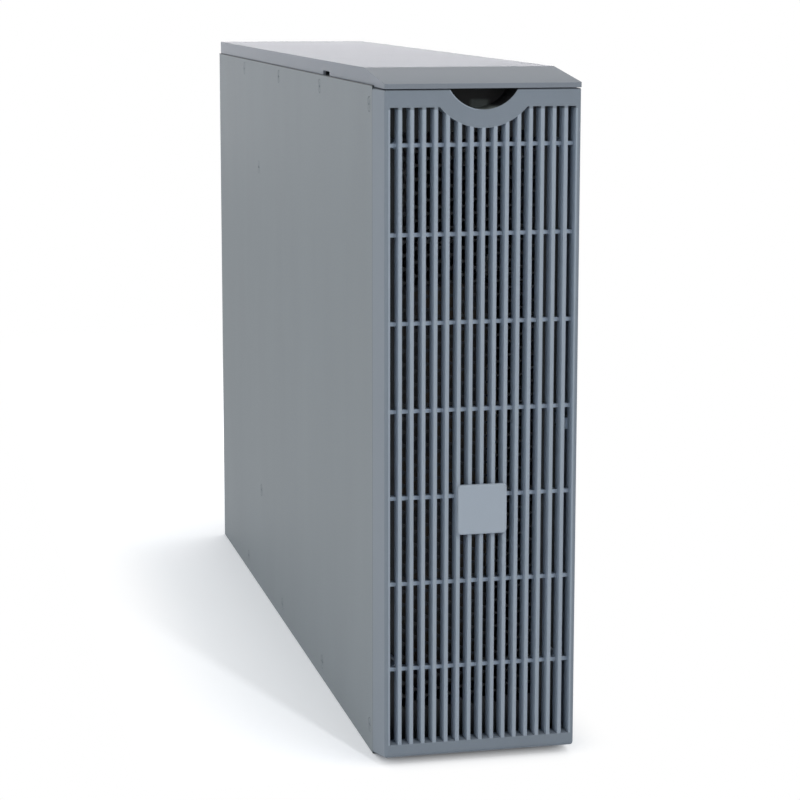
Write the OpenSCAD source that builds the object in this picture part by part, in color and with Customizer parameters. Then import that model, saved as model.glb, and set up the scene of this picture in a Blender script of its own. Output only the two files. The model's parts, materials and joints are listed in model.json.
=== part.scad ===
// Isolation transformer in a narrow upright steel case, with a pull-off louvred front bezel
// and a lift-off top cap. Front faces -Y, the floor of the case stands on z = 0.

/* [Case] */
// Width of the steel case, over the side cover and the far wall
body_w = 128; // [126:0.5:136]
// Height of the steel case, from its floor to its roof
body_h = 432; // [426:1:444]
// Depth of the steel case, from the bezel seam to the rear panel
body_d = 630; // [620:2:660]
// Thickness of the folded case sheet and of the side cover
sheet_t = 1.2; // [1:0.1:1.6]
// Width of the inward flanges that carry the side cover
flange_w = 20; // [18:1:24]
// Thickness of the rear panel
rear_t = 1.5; // [1.2:0.1:2]

/* [Bezel] */
// Depth of the bezel, from its front face to the seam
bezel_d = 30; // [28:1:34]
// Inset of each side of the bezel at its front face
bezel_draft = 1.4; // [1:0.1:2]
// Height of the bezel's front bottom edge above the case floor
bezel_rise = 6.5; // [5:0.5:8]
// Gap between the bezel's top and the plane of the case roof
bezel_drop = 1.4; // [1.2:0.1:2]
// Wall of the bezel moulding
bezel_wall = 2.5; // [2:0.1:3]
// Number of upright slots in the grille
slot_count = 16; // [14:2:16]
// Distance of the grille's pattern from each side of the case
grille_in = 3.52; // [3.4:0.02:6]
// Width of the upright bars between the slots
bar_w = 2.3; // [2.2:0.1:3]
// Depth of the upright bars
bar_d = 11.5; // [9:0.5:13]
// Height of the slots' lower ends above the floor
slot_low = 14.7; // [13:0.1:18]
// Distance of the slots' upper ends below the case roof
slot_top_in = 12.3; // [12:0.1:20]
// Number of cross ribs behind the bars
rib_count = 7; // [5:1:9]
// Height of the lowest cross rib above the floor
rib_low = 62.9; // [55:0.1:70]
// Distance of the highest cross rib below the case roof
rib_top_in = 35.8; // [30:0.1:45]
// Height of one cross rib
rib_h = 2.5; // [2:0.1:3]
// Distance of the cross ribs behind the front face
rib_set = 6.5; // [5:0.5:8]
// Radius of the finger notch
notch_r = 25; // [22:0.5:26]
// Width of the plain ring around the finger notch
notch_ring = 11.3; // [9:0.1:12]
// Depth of the notch below the bezel's top edge
notch_deep = 12.6; // [11:0.1:14]
// Depth of the finger pocket behind the front face
pocket_d = 24; // [20:1:25]

/* [Badge] */
// Side of the square badge
badge_w = 32; // [30:0.5:36]
// Thickness of the badge plate
badge_t = 2.6; // [2.2:0.1:3.4]
// Height of the badge's centre above the floor
badge_z = 166.5; // [160:0.5:175]
// Radius of the badge's pivot
badge_pin_r = 3; // [2.5:0.1:3.5]

/* [Top cap] */
// Height of the top cap above the case roof
cap_h = 10; // [9:0.5:13]
// Inset of the cap from each side of the case
cap_inset = 1.2; // [0.8:0.1:2]
// Run of the sloping front of the cap
cap_run = 62; // [50:1:70]
// Height that the sloping front loses
cap_fall = 7.8; // [6:0.1:8]
// Overhang of the cap's nose in front of the bezel
cap_over = 1; // [0.6:0.1:2]
// Height that the cap's nose hangs below the case roof
cap_hang = 0.9; // [0.6:0.1:1.1]
// Wall of the cap moulding
cap_wall = 2; // [1.8:0.1:2.4]
// Length of the pry slot in the cap's lower edge
pry_w = 22; // [18:1:28]
// Height of the pry slot
pry_h = 3; // [2.5:0.1:3.5]

/* [Cover screws] */
// Radius of the flush screw heads
head_r = 4.6; // [4:0.1:5]
// Distance of the first pair of screws behind the seam
screw_first = 9; // [8:0.5:12]
// Pitch of the screws along the cover's edges
screw_pitch = 162; // [156:1:164]
// Screws along each edge
screw_rows = 4; // [3:1:4]
// Distance of the upper row below the roof
screw_top_in = 8; // [8:0.5:9.5]
// Distance of the lower row above the floor
screw_low_in = 12.5; // [10:0.5:14]

/* [Transformer] */
// Width of the core's centre limb
limb_w = 110; // [100:1:112]
// Length of the core's windows
window_l = 170; // [160:1:180]
// Height of each core window
window_h = 28; // [26:0.5:29]
// Clearance between the coil and each wall of the case
coil_room = 9.2; // [8:0.2:12]
// Height of the core's underside above the floor
core_z = 20; // [18:1:24]
// Distance of the core's front behind the seam
core_y = 75; // [60:1:80]
// Radial depth of each winding
wind_t = 9; // [8:0.5:9.5]
// Radius of the core's through bolts
bolt_r = 4; // [3.5:0.1:4.5]
// Thickness of the steel clamp angles
clamp_t = 3; // [2.5:0.1:3.5]

/* [Rear fittings] */
// Side of the square cooling fan
fan_w = 92; // [88:1:94]
// Depth of the cooling fan
fan_d = 25; // [24:0.5:28]
// Height of the fan's centre above the floor
fan_z = 372; // [368:1:374]
// Width of the input breaker's face plate
brk_w = 44; // [40:1:48]
// Height of the input breaker's face plate
brk_h = 54; // [50:1:58]
// Half of the breaker lever's whole throw, in degrees
lever_throw = 22; // [18:1:24]
// Width of one outlet's face
outlet_w = 34; // [32:1:38]
// Height of one outlet's face
outlet_h = 42; // [40:1:44]
// Radius of the twist-lock outlet's flange
twist_r = 30; // [29:0.5:31]
// Radius of the cable gland's thread
gland_r = 16; // [14:0.5:17]
// Radius of the passage for the input cable
cable_r = 9; // [8:0.5:10]
// Reach of the cable gland behind the rear panel
gland_reach = 30; // [28:1:34]
// Radius of the earth stud
stud_r = 3; // [2.5:0.5:4]

/* [Hidden] */
$fn = 64;

// Overrun that carries every cut past its face
cut = 1;
// Gap round pieces that sit in or on each other
fit = 0.3;
// Running gap round shafts and pivot pins
run_gap = 0.08;

// Bezel, badge and case stand one behind the other, centred with the gland's reach at the rear
badge_gap = 0.3;
badge_proud = badge_t + badge_gap;
total_d = badge_proud + bezel_d + body_d + gland_reach;
seam_y = badge_proud + bezel_d - total_d / 2;
front_y = seam_y - bezel_d;
rear_y = seam_y + body_d;
half_w = body_w / 2;
in_x = half_w - sheet_t;
in_top = body_h - sheet_t;

// Grille: its slots share the width and its cross ribs the height
slot_pitch = (body_w - 2 * grille_in) / slot_count;
slot_high = body_h - slot_top_in;
rib_pitch = (body_h - rib_top_in - rib_low) / (rib_count - 1);

// Places of the cover screws: two rows along the edges and two that hold the air baffle
front_pair_in = 4;
baffle_screw_y = 427;
baffle_screw_z = 84;
head_t = 0.8;
shank_r = 1.9;
shank_l = 8;
nut_ring_r = 3.2;
nut_ring_l = 4;
recess_w = 1;
recess_share = 0.62;
recess_t = 0.5;
function row_y(i) = seam_y + screw_first + screw_pitch * i;
function row_in(i) = i == 0 ? front_pair_in : 0;
cover_places = [
  for (i = [0 : screw_rows - 1]) each [
    [row_y(i), screw_low_in + row_in(i)],
    [row_y(i), body_h - screw_top_in - row_in(i)]],
  [seam_y + baffle_screw_y, baffle_screw_z],
  [seam_y + baffle_screw_y, body_h - baffle_screw_z]];

// Front screen: a perforated plate with flanges turned back along the case walls
screen_t = 1;
lip_w = 14;
hole_web = 1.1;
hole_edge = 12;
row_share = sin(60);
hole_pitch = slot_pitch / row_share;
hole_r = (hole_pitch - hole_web) / 2;

// Baffle behind the transformer, with windows for air and leads
baffle_t = 1;
baffle_y = seam_y + baffle_screw_y + lip_w / 2;
baffle_win_w = 44;
baffle_win_h = 50;
baffle_win_gap = 16;
baffle_wins = 6;

// Screws on the far wall hold the flanges of screen, baffle and rear panel
wall_screw_share = [0.08, 0.5, 0.92];
wall_screw_y = [seam_y + screen_t + lip_w / 2, baffle_y - lip_w / 2, rear_y - rear_t - lip_w / 2];

// Stabiliser or rack-ear screws go into four holes in the case floor
ear_r = 2.1;
ear_x = 80;
ear_y = 30;
ear_from_seam = 40;

// Core of E and I laminations, windows along the case, limb axis along Y
side_limb = limb_w / 2;
core_h = 2 * limb_w + 2 * window_h;
core_l = window_l + limb_w;
core_y0 = seam_y + core_y;
core_mid_z = core_z + core_h / 2;
core_mid_y = core_y0 + core_l / 2;
bush_t = 1;
bush_gap = 0.15;
core_hole_r = bolt_r + bush_t + 2 * bush_gap;
bolt_places = [
  for (y = [core_y0 + side_limb / 2, core_y0 + core_l - side_limb / 2])
    for (z = [core_z + side_limb / 2, core_z + core_h - side_limb / 2]) [y, z]];

// Coil: bobbin, primary, electrostatic shield, secondary and outer wrap, one round the other
bob_t = 2;
bob_flange_t = 2.5;
shield_t = 0.5;
wrap_t = 1;
layer_gap = 0.2;
coil_r = 6;
bob_out = fit + bob_t;
pri_out = bob_out + layer_gap + wind_t;
shield_out = pri_out + layer_gap + shield_t;
sec_out = shield_out + layer_gap + wind_t;
wrap_out = sec_out + layer_gap + wrap_t;
stack_t = 2 * (in_x - coil_room - wrap_out);
bob_l = window_l - 2 * fit;
coil_l = bob_l - 2 * bob_flange_t - 2 * layer_gap;

// Clamp angles along the side limbs; the lower pair has feet on rubber pads
clamp_leg = 24;
pad_t = 3;
foot_z = sheet_t + pad_t;
clamp_low_h = core_z + side_limb - foot_z;
bolt_head_t = 5;
bolt_head_r = 7.2;
nut_t = 6;
foot_y = [core_y0 + side_limb, core_y0 + core_l - side_limb];
foot_x = stack_t / 2 + clamp_t + clamp_leg / 2;
foot_head_r = 10;
foot_nut_r = 6.5;
foot_nut_t = 5;
foot_stud_r = 3;

// Brackets from the upper far clamp angle to the far wall
bracket_leg = 18;
bracket_t = 2;
bracket_w = 30;

// Thermal switch bedded on the coil's cover side
therm_w = 18;
therm_h = 12;
therm_t = 4;

// Terminal block on the far wall, behind the baffle
term_poles = 6;
term_pitch = 18;
term_d = 34;
term_t = 20;
term_z = 130;
term_gap = 36;
term_y = baffle_y + term_gap;
term_end = 8;
term_wall = 2;
term_dip = 6;
term_screw_r = 3.4;
term_screw_t = 3;
term_row = 9;

// Insulated leads
lead_r = 2.2;
lead_sides = 8;
lead_steps = 12;

// Cooling fan behind the rear panel
fan_rim = 3;
fan_bore_r = fan_w / 2 - fan_rim;
fan_hole_in = 4.75;
fan_hole_r = 2.2;
fan_pitch = fan_w - 2 * fan_hole_in;
fan_hub_r = 19;
fan_wall = 2;
fan_strut_w = 5;
fan_strut_t = 3;
fan_shaft_r = 1.5;
fan_blades = 7;
fan_blade_t = 1.5;
fan_blade_turn = 38;
fan_tip_gap = 2;
fan_hub_d = 17;
fan_face_gap = 1;
guard_t = 1.5;
guard_ring_w = 2;
guard_rings = 4;
guard_ear_r = 5.5;
fan_screw_l = 12;

// Input breaker: body behind the panel, face plate in front, lever through its slot
brk_x = -26;
brk_z = 285;
brk_face_t = 3;
brk_body_d = 56;
brk_side = 3;
lever_w = 22;
lever_r = 9;
lever_pin_r = 2;
lever_pin_l = 5;
lever_in = 2;
lever_reach = 19;
lever_tip = 6;
lever_gap = 0.5;

// Push-to-reset breakers
reset_x = 28;
reset_z = [298, 268];
reset_r = 5.8;
reset_ring_r = 8.5;
reset_ring_t = 3;
reset_neck_l = 8;
reset_body_w = 15;
reset_body_h = 24;
reset_body_d = 32;
button_r = 3.6;
button_l = 10;
button_cap_r = 5;
button_cap_t = 3;

// Outlets, two columns of two
outlet_x = 27;
outlet_z = [166, 216];
outlet_face_t = 2.5;
outlet_body_d = 28;
outlet_side = 2;
outlet_corner = 3;
blade_slot_w = 2;
blade_slot_h = 8.5;
blade_slot_x = 6.35;
earth_hole_r = 2.6;
earth_hole_z = 11.5;
slot_depth = 16;

// Twist-lock outlet
twist_z = 104;
twist_face_t = 3;
twist_body_r = 23;
twist_body_d = 36;
twist_slot_r = 14;
twist_slot_w = 2.6;
twist_slot_turn = 44;
twist_screw_x = 26.5;
twist_screw_r = 1.6;
twist_head_r = 2.9;
twist_head_t = 1.6;
twist_screw_l = 8;

// Cable gland and earth stud
gland_x = 26;
gland_z = 42;
gland_hex_t = 8;
gland_stub_l = 12;
gland_in = 14;
gland_nut_t = 6;
gland_wall = 3;
gland_mouth = 1;
seal_t = 4;
nut_over = 5;
earth_x = -30;
earth_z = 42;
stud_out = 20;
stud_in = 12;
earth_nut_t = 5;
washer_t = 1.2;
hex_share = 1.9;
washer_share = 2.3;

// Bezel: its underside climbs from the seam to the front edge
bezel_foot = 0.5;
bezel_top = body_h - bezel_drop;
notch_z = bezel_top - notch_deep + notch_r;
boss_w = 27;
badge_corner = 2.5;
clip_r = 5.5;
clip_t = 1;

// Posts and hooks that hold the bezel to the screen, the posts behind the outermost bars and
// the hooks behind the outer walls of the outermost slots
post_r = 3;
post_reach = 8;
post_tip = 1.5;
post_x = (slot_count / 2 - 1) * slot_pitch;
post_z = [rib_low, rib_low + (rib_count - 1) * rib_pitch];
hook_w = 3.4;
hook_h = 7.3;
hook_root = 1;
hook_x = (slot_count * slot_pitch - bar_w - hook_w) / 2 + hook_root;
hook_up = 1;
hook_z = body_h / 2 + hook_up;
hook_reach = 4;

// Posts and ribs of the cap, and its pry slots
cap_post_x = 40;
cap_post_in = 60;
cap_post_y = [cap_post_in, body_d - cap_post_in];
cap_post_reach = 7;
cap_rib_t = 1.6;
cap_ribs = 5;
pry_y = 153;

// Block between two corners
module block(a, b) {
  translate(a) cube(b - a);
}

// Round bars along each axis, from a point on the bar's end
module bar_x(p, l, r) {
  translate(p) rotate([0, 90, 0]) cylinder(h = l, r = r);
}

module bar_y(p, l, r) {
  translate(p) rotate([-90, 0, 0]) cylinder(h = l, r = r);
}

module bar_z(p, l, r) {
  translate(p) cylinder(h = l, r = r);
}

// Six-sided nuts and bolt heads along each axis, with a given corner radius
module hex_x(p, l, r) {
  translate(p) rotate([0, 90, 0]) cylinder(h = l, r = r, $fn = 6);
}

module hex_y(p, l, r) {
  translate(p) rotate([-90, 0, 0]) cylinder(h = l, r = r, $fn = 6);
}

module hex_z(p, l, r) {
  translate(p) cylinder(h = l, r = r, $fn = 6);
}

// Rectangle with round corners, centred
module round_rect(w, h, r) {
  square([w - 2 * r, h], center = true);
  square([w, h - 2 * r], center = true);
  for (x = [-1, 1], y = [-1, 1]) translate([x * (w / 2 - r), y * (h / 2 - r)]) circle(r = r);
}

// Plate with round corners that lies across Y, from y forward by t, centred on x and z
module plate_y(x, y, z, w, h, t, r) {
  translate([x, y + t, z]) rotate([90, 0, 0]) linear_extrude(height = t) round_rect(w, h, r);
}

// Flush screw with its head outwards at x = 0 and its shank towards +X
module flush_screw() {
  difference() {
    union() {
      bar_x([0, 0, 0], head_t, head_r);
      bar_x([0, 0, 0], shank_l, shank_r);
    }
    for (turn = [0, 90]) rotate([turn, 0, 0])
      cube([2 * recess_t, recess_w, 2 * head_r * recess_share], center = true);
  }
}

// Seat that a flush screw needs in a sheet whose outer face is at x = 0
module flush_seat() {
  bar_x([-cut, 0, 0], cut + head_t, head_r + fit);
  bar_x([-cut, 0, 0], 2 * cut + sheet_t, shank_r + fit);
}

// Tube along a chain of points, sides round each point, flat ends across the chain's end runs
function unit(v) = v / norm(v);
function heading(p, i) = unit(i == 0 ? p[1] - p[0] : i == len(p) - 1 ? p[i] - p[i - 1] : p[i + 1] - p[i - 1]);
function across(d) = unit(cross(d, abs(d.x) > abs(d.z) ? [0, 0, 1] : [1, 0, 0]));
function ring(p, i, r) = let (d = heading(p, i), u = across(d), v = cross(d, u))
  [for (k = [0 : lead_sides - 1]) let (a = 360 * k / lead_sides) p[i] + r * (cos(a) * u + sin(a) * v)];
module tube(p, r) {
  last = len(p) - 1;
  points = [for (i = [0 : last]) each ring(p, i, r)];
  walls = [for (i = [0 : last - 1], k = [0 : lead_sides - 1])
    let (a = i * lead_sides + k, b = i * lead_sides + (k + 1) % lead_sides)
    each [[a, a + lead_sides, b], [b, a + lead_sides, b + lead_sides]]];
  caps = [for (k = [1 : lead_sides - 2]) each [
    [0, k, k + 1],
    [last * lead_sides, last * lead_sides + k + 1, last * lead_sides + k]]];
  polyhedron(points = points, faces = concat(walls, caps));
}

// Smooth lead from a to b, leaving a by the vector u and arriving at b from b + v,
// with a short straight run at each end
function curve(a, u, v, b) = [for (i = [0 : lead_steps]) let (t = i / lead_steps, s = 1 - t)
  s * s * s * a + 3 * s * s * t * (a + u) + 3 * s * t * t * (b + v) + t * t * t * b];
function bend(a, u, v, b) = [a, each curve(a + 2 * lead_r * unit(u), u, v, b + 2 * lead_r * unit(v)), b];

module case_pan() {
  color("dimgray") difference() {
    union() {
      block([-in_x, seam_y, 0], [half_w, rear_y, sheet_t]);
      block([-in_x, seam_y, in_top], [half_w, rear_y, body_h]);
      block([in_x, seam_y, 0], [half_w, rear_y, body_h]);
      for (z = [0, body_h - flange_w])
        block([-in_x, seam_y + screen_t + fit, z], [sheet_t - in_x, rear_y - rear_t - fit, z + flange_w]);
    }
    for (p = cover_places) bar_x([-half_w, p.x, p.y], 2 * cut + 2 * sheet_t, shank_r + fit);
    for (y = wall_screw_y, s = wall_screw_share)
      translate([half_w, y, s * body_h]) mirror([1, 0, 0]) flush_seat();
    for (x = [-foot_x, foot_x], y = foot_y) bar_z([x, y, -cut], sheet_t + 2 * cut, foot_stud_r + fit);
    for (x = [-foot_x, foot_x], y = foot_y) bar_z([x, y, -cut], cut + sheet_t / 2, foot_head_r + fit);
    for (x = [-1, 1], y = [-1, 1])
      bar_z([x * ear_x / 2, seam_y + ear_from_seam + y * ear_y / 2, -cut], sheet_t + 2 * cut, ear_r);
    for (x = [-cap_post_x, cap_post_x], y = cap_post_y)
      bar_z([x, seam_y + y, in_top - cut], sheet_t + 2 * cut, post_r + fit);
  }
}

module side_cover() {
  color("silver") difference() {
    block([-half_w, seam_y, 0], [-in_x, rear_y, body_h]);
    for (p = cover_places) translate([-half_w, p.x, p.y]) flush_seat();
  }
}

module cover_screws() {
  color("gainsboro") for (p = cover_places) translate([-half_w, p.x, p.y]) flush_screw();
}

// Clinch nuts on the flanges behind the cover screws, and on the baffle's flange
module cover_nuts() {
  color("lightgray") for (p = cover_places) difference() {
    bar_x([2 * sheet_t - half_w, p.x, p.y], nut_ring_l, nut_ring_r);
    bar_x([-half_w, p.x, p.y], 2 * shank_l, shank_r + run_gap);
  }
}

module panel_screws() {
  color("gainsboro") for (y = wall_screw_y, s = wall_screw_share)
    translate([half_w, y, s * body_h]) mirror([1, 0, 0]) flush_screw();
}

// Holes for the far wall's screws in a flange
module wall_holes(y) {
  for (s = wall_screw_share) bar_x([in_x - lip_w, y, s * body_h], 2 * lip_w, shank_r + fit);
}

// Perforation as staggered columns of round holes, each column behind one slot of the grille
module perforation(w, h) {
  cols = floor((w / 2 - hole_r) / slot_pitch + 1 / 2);
  rows = floor(h / hole_pitch / 2);
  for (c = [-cols : cols - 1], r = [-rows : rows])
    if (c % 2 == 0 || r < rows)
      translate([(c + 1 / 2) * slot_pitch, (r + (c % 2 == 0 ? 0 : 1 / 2)) * hole_pitch])
        circle(r = hole_r, $fn = 24);
}

module front_screen() {
  color("dimgray") difference() {
    translate([0, seam_y + screen_t, body_h / 2]) rotate([90, 0, 0])
      linear_extrude(height = screen_t) difference() {
        square([2 * in_x, in_top - sheet_t], center = true);
        perforation(2 * (in_x - hole_edge), in_top - sheet_t - 2 * hole_edge - 2 * lip_w);
      }
    for (x = [-post_x, post_x], z = post_z)
      bar_y([x, seam_y - cut, z], screen_t + 2 * cut, post_r + fit);
    for (x = [-hook_x, hook_x])
      block([x - hook_w / 2 - fit, seam_y - cut, hook_z - hook_h / 2 - fit],
        [x + hook_w / 2 + fit, seam_y + screen_t + cut, hook_z + hook_h / 2 + fit]);
  }
}

// Flanges that tie the screen to the case walls: a bracket round three sides and a strip
// along the side cover
module screen_frame() {
  y0 = seam_y + screen_t;
  side_z = flange_w + fit;
  low_x = sheet_t + fit - in_x;
  color("dimgray") difference() {
    union() {
      block([in_x - screen_t, y0, sheet_t], [in_x, seam_y + lip_w, in_top]);
      block([-in_x, y0, side_z], [screen_t - in_x, seam_y + lip_w, body_h - side_z]);
      for (z = [sheet_t, in_top - screen_t])
        block([low_x, y0, z], [in_x, seam_y + lip_w, z + screen_t]);
    }
    wall_holes(wall_screw_y[0]);
  }
}

module air_baffle() {
  color("darkgray") difference() {
    union() {
      block([-in_x, baffle_y - baffle_t, flange_w + fit], [in_x, baffle_y, body_h - flange_w - fit]);
      block([-in_x, baffle_y - lip_w, flange_w + fit], [sheet_t - in_x, baffle_y, body_h - flange_w - fit]);
      block([in_x - baffle_t, baffle_y - lip_w, flange_w + fit], [in_x, baffle_y, body_h - flange_w - fit]);
    }
    wall_holes(wall_screw_y[1]);
    for (z = [baffle_screw_z, body_h - baffle_screw_z])
      bar_x([-half_w, baffle_y - lip_w / 2, z], lip_w, shank_r + fit);
    for (x = [-1, 1], i = [0 : baffle_wins - 1])
      translate([x * (baffle_win_w + baffle_win_gap) / 2, baffle_y - baffle_t / 2,
        body_h / 2 + (i - (baffle_wins - 1) / 2) * (baffle_win_h + baffle_win_gap)])
        cube([baffle_win_w, baffle_t + 2 * cut, baffle_win_h], center = true);
  }
}

// Plan of the E and I laminations in the Y and Z plane, drawn as x and y from the core's corner
module core_windows() {
  for (z = [side_limb, side_limb + window_h + limb_w]) translate([side_limb, z])
    square([window_l, window_h]);
}

module core_slab(y0, y1) {
  translate([-stack_t / 2, core_y0, core_z]) rotate([90, 0, 90]) linear_extrude(height = stack_t)
    difference() {
      translate([y0, 0]) square([y1 - y0, core_h]);
      core_windows();
      for (p = bolt_places) translate([p.x - core_y0, p.y - core_z]) circle(r = core_hole_r);
    }
}

module e_laminations() {
  color("slategray") core_slab(side_limb, core_l);
}

module i_laminations() {
  color("slategray") core_slab(0, side_limb);
}

// Sleeve round the centre limb, between two distances from the limb's faces
module sleeve(y0, l, low, high) {
  translate([0, y0 + l, core_mid_z]) rotate([90, 0, 0]) linear_extrude(height = l) difference() {
    round_rect(stack_t + 2 * high, limb_w + 2 * high, coil_r);
    square([stack_t + 2 * low, limb_w + 2 * low], center = true);
  }
}

coil_y0 = core_y0 + side_limb + fit + bob_flange_t + layer_gap;

module bobbin() {
  color("ivory") {
    sleeve(core_y0 + side_limb + fit, bob_l, fit, bob_out);
    for (y = [core_y0 + side_limb + fit, core_y0 + side_limb + fit + bob_l - bob_flange_t])
      sleeve(y, bob_flange_t, fit, wrap_out);
  }
}

module primary_winding() {
  color("peru") sleeve(coil_y0, coil_l, bob_out + layer_gap, pri_out);
}

module static_shield() {
  color("goldenrod") sleeve(coil_y0, coil_l, pri_out + layer_gap, shield_out);
}

module secondary_winding() {
  color("peru") sleeve(coil_y0, coil_l, shield_out + layer_gap, sec_out);
}

module outer_wrap() {
  color("gold") sleeve(coil_y0, coil_l, sec_out + layer_gap, wrap_out);
}

module clamp_angles() {
  y0 = core_y0;
  y1 = core_y0 + core_l;
  x0 = stack_t / 2;
  x1 = x0 + clamp_t + clamp_leg;
  top = core_z + core_h;
  color("gray") for (s = [0, 1]) mirror([s, 0, 0]) difference() {
    union() {
      block([x0, y0, foot_z], [x0 + clamp_t, y1, foot_z + clamp_low_h]);
      block([x0, y0, foot_z], [x1, y1, foot_z + clamp_t]);
      block([x0, y0, top - side_limb], [x0 + clamp_t, y1, top + clamp_t]);
      block([x0, y0, top], [x1, y1, top + clamp_t]);
    }
    for (p = bolt_places) bar_x([x0 - cut, p.x, p.y], clamp_t + 2 * cut, bolt_r + fit);
    for (y = foot_y) bar_z([foot_x, y, foot_z - cut], clamp_t + 2 * cut, foot_stud_r + fit);
    for (y = foot_y) bar_z([foot_x, y, top - cut], clamp_t + 2 * cut, foot_stud_r + fit);
  }
}

module clamp_bolts() {
  x0 = stack_t / 2 + clamp_t;
  color("silver") for (p = bolt_places) {
    hex_x([-x0 - bolt_head_t, p.x, p.y], bolt_head_t, bolt_head_r);
    bar_x([-x0 - bolt_head_t, p.x, p.y], 2 * x0 + bolt_head_t + nut_t + bolt_r, bolt_r);
    hex_x([x0, p.x, p.y], nut_t, bolt_head_r);
  }
}

module bolt_bushes() {
  color("tan") for (p = bolt_places) difference() {
    bar_x([-stack_t / 2, p.x, p.y], stack_t, bolt_r + bush_t + bush_gap);
    bar_x([-stack_t, p.x, p.y], 2 * stack_t, bolt_r + bush_gap);
  }
}

module core_pads() {
  x0 = stack_t / 2;
  x1 = x0 + clamp_t + clamp_leg;
  color("black") for (s = [0, 1]) mirror([s, 0, 0]) difference() {
    block([x0, core_y0, sheet_t], [x1, core_y0 + core_l, foot_z]);
    for (y = foot_y) bar_z([foot_x, y, 0], foot_z + cut, foot_stud_r + fit);
  }
}

module floor_studs() {
  color("silver") for (x = [-foot_x, foot_x], y = foot_y) {
    bar_z([x, y, 0], sheet_t / 2, foot_head_r);
    bar_z([x, y, 0], foot_z + clamp_t + 2 * foot_nut_t, foot_stud_r);
  }
}

module floor_nuts() {
  color("silver") for (x = [-foot_x, foot_x], y = foot_y) difference() {
    hex_z([x, y, foot_z + clamp_t], foot_nut_t, foot_nut_r);
    bar_z([x, y, 0], 2 * core_z, foot_stud_r + run_gap);
  }
}

// Two angles that tie the upper far clamp to the far wall, so that the case can also lie flat
module wall_brackets() {
  z0 = core_z + core_h + clamp_t;
  color("gray") for (y = foot_y) difference() {
    union() {
      block([stack_t / 2 + clamp_t, y - bracket_w / 2, z0], [in_x, y + bracket_w / 2, z0 + bracket_t]);
      block([in_x - bracket_t, y - bracket_w / 2, z0], [in_x, y + bracket_w / 2, z0 + bracket_leg]);
    }
    bar_z([foot_x, y, z0 - cut], bracket_t + 2 * cut, foot_stud_r + fit);
  }
}

module bracket_bolts() {
  z0 = core_z + core_h;
  grip = clamp_t + bracket_t;
  color("silver") for (y = foot_y) {
    hex_z([foot_x, y, z0 - foot_nut_t], foot_nut_t, foot_nut_r);
    bar_z([foot_x, y, z0 - foot_nut_t], grip + 2 * foot_nut_t + foot_stud_r, foot_stud_r);
    hex_z([foot_x, y, z0 + grip], foot_nut_t, foot_nut_r);
  }
}

module thermal_switch() {
  x0 = stack_t / 2 + wrap_out;
  color("black") block([-x0 - therm_t, core_mid_y - therm_w / 2, core_mid_z - therm_h / 2],
    [-x0, core_mid_y + therm_w / 2, core_mid_z + therm_h / 2]);
}

term_len = term_poles * term_pitch + 2 * term_end;
function pole_z(i) = term_z + term_end + term_pitch * (i + 1 / 2);
function pole_y(side) = term_y + term_d / 2 + side * term_row;

module terminal_block() {
  x0 = in_x - term_t;
  color("darkslategray") difference() {
    block([x0, term_y, term_z], [in_x, term_y + term_d, term_z + term_len]);
    for (i = [0 : term_poles - 1], side = [-1, 1])
      translate([x0, pole_y(side), pole_z(i)])
        cube([2 * term_dip, 2 * (term_row - term_wall), term_pitch - term_wall], center = true);
  }
}

module terminal_screws() {
  color("goldenrod") for (i = [0 : term_poles - 1], side = [-1, 1])
    bar_x([in_x - term_t + term_dip - term_screw_t, pole_y(side), pole_z(i)], term_screw_t, term_screw_r);
}

// Plane of the rear panel's inner face
rear_in = rear_y - rear_t;

module rear_panel() {
  low_x = sheet_t + fit - in_x;
  side_z = flange_w + fit;
  color("dimgray") difference() {
    union() {
      block([-in_x, rear_in, sheet_t], [in_x, rear_y, in_top]);
      block([in_x - rear_t, rear_in - lip_w, sheet_t], [in_x, rear_y, in_top]);
      block([-in_x, rear_in - lip_w, side_z], [rear_t - in_x, rear_y, body_h - side_z]);
      block([low_x, rear_in - lip_w, sheet_t], [in_x, rear_y, sheet_t + rear_t]);
      block([low_x, rear_in - lip_w, in_top - rear_t], [in_x, rear_y, in_top]);
    }
    wall_holes(wall_screw_y[2]);
    bar_y([0, rear_in - cut, fan_z], rear_t + 2 * cut, fan_bore_r);
    for (x = [-1, 1], z = [-1, 1])
      bar_y([x * fan_pitch / 2, rear_in - cut, fan_z + z * fan_pitch / 2], rear_t + 2 * cut, fan_hole_r);
    breaker_neck(fit, rear_in - cut, rear_y + cut);
    for (z = reset_z) bar_y([reset_x, rear_in - cut, z], rear_t + 2 * cut, reset_r + fit);
    for (x = [-outlet_x, outlet_x], z = outlet_z) outlet_neck(x, z, fit, rear_in - cut, rear_y + cut);
    bar_y([0, rear_in - cut, twist_z], rear_t + 2 * cut, twist_body_r + fit);
    for (x = [-1, 1])
      bar_y([x * twist_screw_x, rear_in - cut, twist_z], rear_t + 2 * cut, twist_screw_r + fit);
    bar_y([gland_x, rear_in - cut, gland_z], rear_t + 2 * cut, gland_r + fit);
    bar_y([earth_x, rear_in - cut, earth_z], rear_t + 2 * cut, stud_r + fit);
  }
}

// Places where leads meet the terminal block, front row and rear row
coil_poles = [1, 2, 3, 5];
coil_exit_z = 10;
coil_lead_x = (stack_t + bob_out + wrap_out) / 2;
lead_pull = 60;
row_pull = 30;
lead_in = 3;
lead_next = 6;
function pole_end(side, i, shift) =
  [in_x - term_t + lead_in + shift, term_y + (side + 1) / 2 * term_d, pole_z(i)];
function coil_end(k) = [coil_lead_x, core_y0 + side_limb + fit + bob_l,
  core_mid_z + (k - (len(coil_poles) - 1) / 2) * coil_exit_z];

module coil_leads() {
  color("firebrick") for (k = [0 : len(coil_poles) - 1])
    tube(bend(coil_end(k), [0, lead_pull, 0], [0, -lead_pull, 0], pole_end(-1, coil_poles[k], 0)), lead_r);
}

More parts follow.
